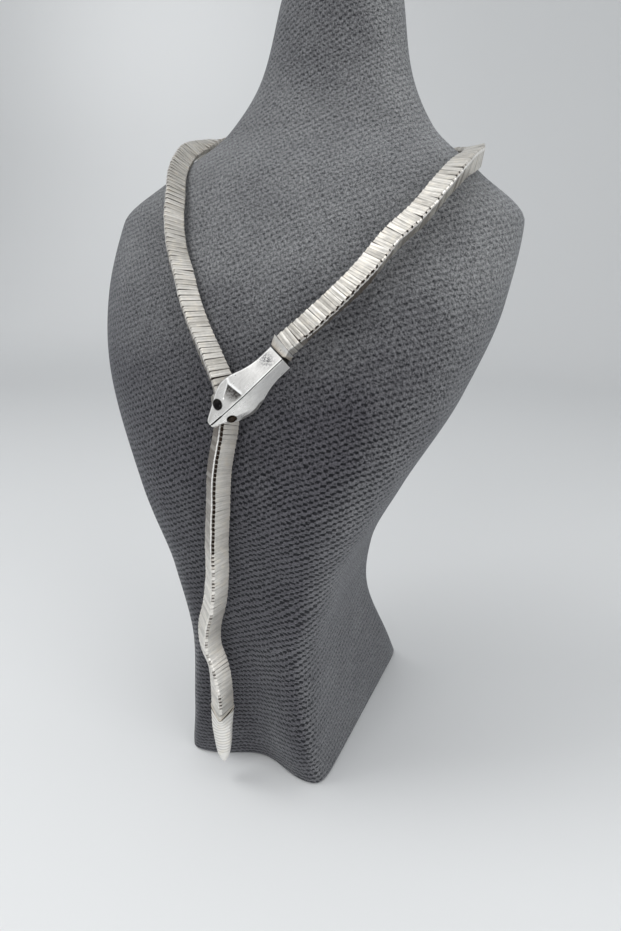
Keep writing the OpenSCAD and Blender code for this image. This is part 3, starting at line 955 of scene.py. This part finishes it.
def half_profile(along, left):
    """One side of a section of the head, from the ridge to the foot: across, height, and marks of
    painted shade, stain and painted highlight.
    """
    _, half, edge = HEAD_SIDE.at(along)
    foot = HEAD_RIDGE.at(along)[2]
    depth, groove_half = blend_rows(GROOVE, along)
    jowl = 0 if left else smooth(*JOWL_FROM, along) * (1 - smooth(*JOWL_TO, along))
    near = HEAD_NEAR_RIDGE
    rows = []
    for x in near + list(near[-1] + (half - near[-1]) * np.linspace(0, 1, HEAD_COLUMNS)[1:]):
        seat = 1 - smooth(1.04, 1.16, eye_reach(x, along))
        cut = max(0.0, 1 - (x / groove_half) ** 2)
        lip = math.exp(-(((x - groove_half - 0.15) / 0.14) ** 2))
        height = head_surface(x, along, left) - EYE_SEAT * seat - depth * cut + LIP_RIM * lip
        slope = 0 if left else max(0.0, x - half + JOWL * jowl)
        hollow, brow, cheek = left_forms(x, along) if left else (0, 0, 0)
        stain = math.hypot(along - STAIN[0], x - STAIN[1]) / STAIN[2] if left else 9
        # Painted shade in the hollow before the brow, around the eye seats, in the groove and on
        # the jowl's slope
        dark = max(RECESS_DARK * hollow, seat, cut > 0.3, JOWL_DARK * smooth(0, 0.2, slope))
        # Painted highlights on the brow, cheek edge, groove lip and outer edge, and painted light
        # on the right side's rear plane
        edge_highlight = EDGE_HIGHLIGHT * smooth(0.35, 0.05, half - x) * (1 - jowl)
        pale = 0 if left else REAR_PAINTED_LIGHT * (1 - smooth(*REAR_ENDS, along))
        worn = max(brow, cheek, 0.6 * lip, edge_highlight, pale) * (1 - seat)
        rows.append((x, height - JOWL_SLOPE * slope, dark, math.exp(-(stain**2)), worn))
    edge -= JOWL_SLOPE * JOWL * jowl
    rows += [(half + x, edge + z, dark, 0, 0) for x, z, dark in HEAD_WALL]
    under = ((-0.25, 0.3), (-0.7, 0), (-half / 2, 0))
    return rows + [(half + x, foot + z, FOOT_DARK, 0, 0) for x, z in under]


def head_ring(along):
    """One closed section of the head: across, height, and the marks of each corner."""
    left, right = half_profile(along, True), half_profile(along, False)
    foot = HEAD_RIDGE.at(along)[2]
    mirrored = [(-x, *rest) for x, *rest in reversed(right[1:])]
    return left + [(0.0, foot, FOOT_DARK, 0, 0)] + mirrored


def cast_head(metal):
    """The flat angular head, with the channel for the crossing chain cut out of its underside."""
    places = [place for step in HEAD_STEPS for place in np.arange(*step)] + [HEAD_L]
    rings, uv = [], []
    marks = {"crevice": [], "stain": [], "worn": []}
    for along in places:
        section = head_ring(along)
        rings.append([
            HEAD_NECK + HEAD_X * x + HEAD_Y * along + HEAD_Z * z for x, z, *_ in section
        ])
        uv += [(corner[0], along) for corner in section]
        for k, values in enumerate(marks.values()):
            values += [corner[2 + k] for corner in section]
    piece = make_piece("head_cast", *loft(rings), uv, marks, sharp=32)
    rows = np.arange(*(CLASP_ROW + reach for reach in CHANNEL_REACH), CHANNEL_STEP)
    grow = 2 * CLASP_ROOM
    room = chain_section(CHAIN_W + grow, CHAIN_H + grow, CHAIN_EDGE + CLASP_ROOM)
    rings = [ring(route.frame(route.length_at(u)), room) for u in rows]
    channel = make_piece("head_channel", *loft(rings))
    cut = piece.modifiers.new("channel", "BOOLEAN")
    cut.operation, cut.object, cut.solver = "DIFFERENCE", channel, "EXACT"
    piece.data = shaped_mesh(piece)
    bpy.data.objects.remove(channel)
    finish_piece(piece, "snake_head", metal)


def set_eye(name, node, left, stone):
    """A slightly long polished stone, set in the slope of the head."""
    level = head_surface(EYE_OUT, EYE_ALONG, left)
    outer, inner = (head_surface(EYE_OUT + d, EYE_ALONG, left) for d in (1, -1))
    slope = math.atan2(inner - outer, 2)
    outward_x = HEAD_X if left else -HEAD_X
    middle = HEAD_NECK + outward_x * EYE_OUT + HEAD_Y * EYE_ALONG + HEAD_Z * (level - EYE_SINK)
    across = outward_x * math.cos(slope) - HEAD_Z * math.sin(slope)
    up = outward_x * math.sin(slope) + HEAD_Z * math.cos(slope)
    c, s = math.cos(EYE_TURN), math.sin(EYE_TURN)
    long_way, wide_way = across * c + HEAD_Y * s, HEAD_Y * c - across * s
    rings = []
    for rise in np.radians(EYE_RISES):
        size = math.cos(rise)
        turns = np.linspace(0, 2 * math.pi, EYE_SIDES, endpoint=False)
        rings.append([
            middle + up * EYE_HIGH * math.sin(rise)
            + long_way * EYE_LONG * size * math.cos(a) + wide_way * EYE_WIDE * size * math.sin(a)
            for a in turns
        ])
    finish_piece(make_piece(name, *loft(rings)), node, stone)


def folded_band(name, rows, count, corner, sharp):
    """A band made of rows: its corners' places along it, or one for all, and a size and marks."""
    rings, uv, marks = [], [], {"crevice": [], "gold": []}
    for places, size, painted_shade, tint in rows:
        corners = [corner(k, share, size) for k, share in enumerate(places + np.zeros(count))]
        rings.append([point for point, _ in corners])
        uv += [spot for _, spot in corners]
        marks["crevice"] += [painted_shade] * len(corners)
        marks["gold"] += [tint] * len(corners)
    return make_piece(name, *loft(rings), uv, marks, sharp)


# The collar's lip and the gap under it: place across from left to right, lip, gap
COLLAR_LIP = [(-1, 0.15, 0.07), (-0.1, 0.22, 0.13), (0.15, 0.38, 0.3), (1, 0.88, 0.46)]
# How much larger than the chain the collar is at the head and at the chain: width, height
COLLAR_NEAR, COLLAR_FAR = (0, -1.4), (0.6, 0.5)
COLLAR_SINK = 0.6
# The gap under the band's lip: place across from the ridge, gap
BAND_GAP = [(-1, 0.1), (0, 0.12), (0.2, 0.34), (0.6, 0.46), (0.9, 0.36), (1, 0.12)]
BAND_FINE = 0.8


def folded_collar(metal):
    """The folded block between the head and the first link: a prism under a slanting hood."""
    first = route.frame(0)
    near = [HEAD_NECK - HEAD_Y * GAP - HEAD_Z * COLLAR_SINK, -HEAD_X, HEAD_Z]
    far = [first[0] - first[3] * GAP, first[1], first[2]]
    small, large = (
        np.array(chain_section(CHAIN_W + wider, CHAIN_H + higher, CHAIN_EDGE, 4, 5))
        for wider, higher in (COLLAR_NEAR, COLLAR_FAR)
    )
    lip, gap = blend_rows(COLLAR_LIP, (large[:, 0] / large[:, 0].max()).clip(-1, 1))
    # columns: place of each corner from the head to the chain, size, painted shade, gold tint
    rows = [
        (0, 0.7, 1, 0), (0, 0.78, 1, 0), (gap, 0.78, 1, 0),
        (gap + 0.01, 0.93, 0.3, 0.8), (lip - 0.03, 0.95, 0.1, 0.5), (lip - 0.01, 0.93, 1, 1),
        (lip, 1.0, 0.2, 1), (lip + 0.03, 1.03, 0, 1), (lip + 0.08, 1.03, 0, 0.5),
        (lip * 0.2 + 0.77, 1.01, 0, 0), (0.97, 1.02, 0, 0), (1, 0.98, 0.4, 0.3), (1, 0.75, 1, 0),
    ]

    def corner(k, share, size):
        x, y = (small[k] + (large[k] - small[k]) * share) * size
        middle, side, ridge = (a + (b - a) * share for a, b in zip(near, far))
        return middle + side * x + ridge * y, (x, share * 4)

    piece = folded_band("head_collar_folded", rows, len(large), corner, sharp=30)
    finish_piece(piece, "head_collar", metal)


def tail_band(metal):
    """The hood over the end of the last link. Its lip runs to a point on the ridge."""
    section = np.array(finer(chain_section(CHAIN_W, CHAIN_H, CHAIN_EDGE, 5, 7), BAND_FINE))
    across = -section[:, 0] / section[:, 0].max()
    lip = 0.16 + 0.66 * (1 - abs(across) ** 1.15)
    low = np.minimum(lip + curve_at(BAND_GAP, across), 0.93)
    band = np.minimum(low + 0.26, 0.98)
    # columns: place of each corner along the band, size, painted shade, gold tint
    rows = [
        (0, 0.75, 1, 0), (0, 0.985, 0.2, 0), (lip * 0.6, 1.0, 0, 0.1),
        (lip * 0.65, 0.98, 0.4, 0.3), (lip * 0.72, 1.015, 0, 0.4), (lip, 1.02, 0, 0.5),
        (lip + 0.01, 0.99, 1, 0.8), (lip + 0.02, 0.94, 1, 0), (low, 0.94, 1, 0),
        (low + 0.006, 0.96, 1, 0), (low + 0.012, 0.99, 0.1, 1),
        (low * 0.5 + band * 0.5, 1.0, 0, 0.5), (band - 0.01, 0.99, 0, 0.3),
        (band, 0.955, 0.8, 0.2), (1, 0.965, 0.5, 0), (1, 0.75, 1, 0),
    ]

    def corner(k, share, size):
        middle, side, ridge, _ = route.frame(COLLAR_FROM + COLLAR_L * share)
        x, y = section[k]
        return middle + side * x * size + ridge * y * size, (x, share * COLLAR_L)

    piece = folded_band("tail_band", rows, len(section), corner, sharp=32)
    finish_piece(piece, "tail_collar", metal)


TIP_RINGS = 12
# The grooved share of the point's length, the share by which it has turned round, and how round
TIP_GROOVED = 0.74
TIP_ROUND_FROM = 0.25
TIP_ROUNDING = 0.4
# One ring and its groove: place as a share of its step, size, painted shade
TIP_RING = [(0, 0.98, 0.2), (0.2, 1, 0), (0.6, 1, 0), (0.78, 0.976, 0.2), (0.9, 0.972, 0.3)]
TIP_SMOOTH = [0.745, 0.78, 0.82, 0.86, 0.9, 0.93, 0.96, 0.98, 0.99, 0.996]


def tail_point(metal):
    """The pointed end, which turns round along its length, with its ring grooves."""
    start = COLLAR_FROM + COLLAR_L + GAP
    step = TIP_GROOVED / TIP_RINGS
    rows = [(0.0, 0.8, 1.0)]
    for i in range(TIP_RINGS):
        rows += [(step * i + step * share, size, dark) for share, size, dark in TIP_RING]
    rows += [(share, 1.0, 0.0) for share in TIP_SMOOTH]
    rings, uv, crevice = [], [], []
    for share, size, painted_shade in rows:
        width = (CHAIN_W - 0.2) * (1 - 0.4 * share) * (1 - share**6) ** 0.65 * size
        turned = min(1.0, share / TIP_ROUND_FROM)
        edge = width * (CHAIN_EDGE / CHAIN_W * (1 - turned) + TIP_ROUNDING * turned)
        section = chain_section(width, width * CHAIN_H / CHAIN_W, edge, 6, 7)
        rings.append(ring(route.frame(start + share * (route.total - start)), section))
        uv += [(x, share * TIP_L) for x, _ in section]
        crevice += [painted_shade] * len(section)
    piece = make_piece("tail_point", *loft(rings), uv, {"crevice": crevice}, sharp=40)
    finish_piece(piece, "tail_tip", metal)


# The camera, in millimetres and degrees, in the photo's frame of 621 by 931
CAMERA_AT = (122.0, -290.7, 219.0)
CAMERA_TURN = 22.28
CAMERA_DOWN = 14.35
CAMERA_ROLL = 0.95
FOCAL_PX = 700
PHOTO_H = 931
AXIS_Y = 441
SENSOR = 36


def add_camera():
    data = bpy.data.cameras.new("camera")
    data.sensor_fit = "VERTICAL"
    data.sensor_height = SENSOR
    data.lens = SENSOR * FOCAL_PX / PHOTO_H
    data.shift_y = (AXIS_Y - PHOTO_H / 2) / PHOTO_H
    data.clip_start = 0.01
    camera = add_object("camera", data)
    turn, down = math.radians(CAMERA_TURN), math.radians(CAMERA_DOWN)
    flat = math.cos(down)
    ahead = Vector((-math.sin(turn) * flat, math.cos(turn) * flat, -math.sin(down)))
    right = Vector((math.cos(turn), math.sin(turn), 0))
    up = right.cross(ahead)
    roll = Matrix.Rotation(-math.radians(CAMERA_ROLL), 3, ahead)
    turned = Matrix([roll @ right, roll @ up, -ahead]).transposed().to_4x4()
    camera.matrix_world = Matrix.Translation(Vector(CAMERA_AT) * MM) @ turned
    bpy.context.scene.camera = camera


SKY_POWER = 0.55
SKY_COLOUR = (0.93, 0.95, 0.97, 1)
# What the lights are turned to, in metres
CHEST, WALL = (0, -0.03, 0.19), (-1.4, 1.7, 0.7)
# columns: name, place in metres, target, size, power, whether the metal mirrors it
LIGHTS = [
    ("key", (-0.42, -0.3, 0.95), CHEST, (0.4, 0.4), 2.5, False),
    ("front_low", (-0.05, -0.9, 0.72), CHEST, (0.5, 0.4), 1.9, False),
    ("top", (0.0, -0.1, 1.1), CHEST, (0.9, 0.9), 1.05, True),
    ("left_panel", (-0.6, -0.9, 1.3), CHEST, (1.3, 1.3), 1.3, True),
    ("small_panel", (-0.35, -0.42, 1.05), CHEST, (0.4, 0.4), 0.7, True),
    ("right_panel", (0.85, -0.5, 0.35), CHEST, (0.6, 0.5), 3.8, True),
    ("wall", (-1.2, 0.9, 1.0), WALL, (0.5, 0.5), 2.5, True),
]


def add_light(name, place, target, size, power, mirrored):
    data = bpy.data.lights.new(name, "AREA")
    data.shape = "RECTANGLE"
    data.size, data.size_y = size
    data.energy = power
    light = add_object(name, data)
    light.location = place
    light.rotation_euler = (Vector(target) - Vector(place)).to_track_quat("-Z", "Y").to_euler()
    light.visible_glossy = mirrored


def add_stage():
    """A pale floor that curves up into a pale wall far behind, in metres."""
    width, near, far, bend, high = 3.0, -1.6, 1.1, 0.6, 2.2
    line = [(near, 0.0), (far, 0.0)]
    for angle in np.radians(np.arange(10, 91, 10)):
        line.append((far + bend * math.sin(angle), bend - bend * math.cos(angle)))
    line.append((far + bend, high))
    points = [(x, y, z) for y, z in line for x in (-width, width)]
    faces = [(2 * i, 2 * i + 1, 2 * i + 3, 2 * i + 2) for i in range(len(line) - 1)]
    mesh = bpy.data.meshes.new("pale_stage")
    mesh.from_pydata(points, [], faces)
    mesh.shade_smooth()
    stage = add_object("pale_stage", mesh)
    colours = (0.74, 0.75, 0.755), (0.78, 0.79, 0.795)
    set_material(stage, clouded("pale_floor", 0.0012, *colours, Roughness=0.7))


def add_light_and_sky():
    world = bpy.data.worlds.new("soft_sky")
    bpy.context.scene.world = world
    world.use_nodes = True
    sky = world.node_tree.nodes["Background"]
    sky.inputs["Color"].default_value = SKY_COLOUR
    sky.inputs["Strength"].default_value = SKY_POWER
    for row in LIGHTS:
        add_light(*row)
    bpy.context.scene.view_settings.view_transform = "Standard"


add_camera()
silver = chain_silver("satin_silver", 0.72, (0.42, 0.395, 0.35))
# The tail's and the point's silver are lighter copies of the chain's silver: painted light for the
# bright floor that they mirror
tail_silver_painted_light = chain_silver("satin_silver_painted_lighter", 0.56, (0.52, 0.505, 0.47))
point_silver_painted_light = chain_silver("satin_silver_painted_whiter", 0.42, (0.80, 0.79, 0.76))
cast_metal = head_silver()
bust_cover()
main_chains(silver, tail_silver_painted_light)
cast_head(cast_metal)
folded_collar(cast_metal)
polish = {"Roughness": 0.06, "Specular_IOR_Level": 0.1}
black = clouded("polished_black", 0.9, (0.002, 0.002, 0.003), (0.007, 0.006, 0.006), **polish)
brown = clouded("polished_brown", 0.9, (0.006, 0.004, 0.003), (0.030, 0.020, 0.012), **polish)
set_eye("eye_left_stone", "eye_left", True, black)
set_eye("eye_right_stone", "eye_right", False, brown)
tail_band(tail_silver_painted_light)
tail_point(point_silver_painted_light)
set_material(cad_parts["head_clasp"], clasp_silver())
add_stage()
add_light_and_sky()
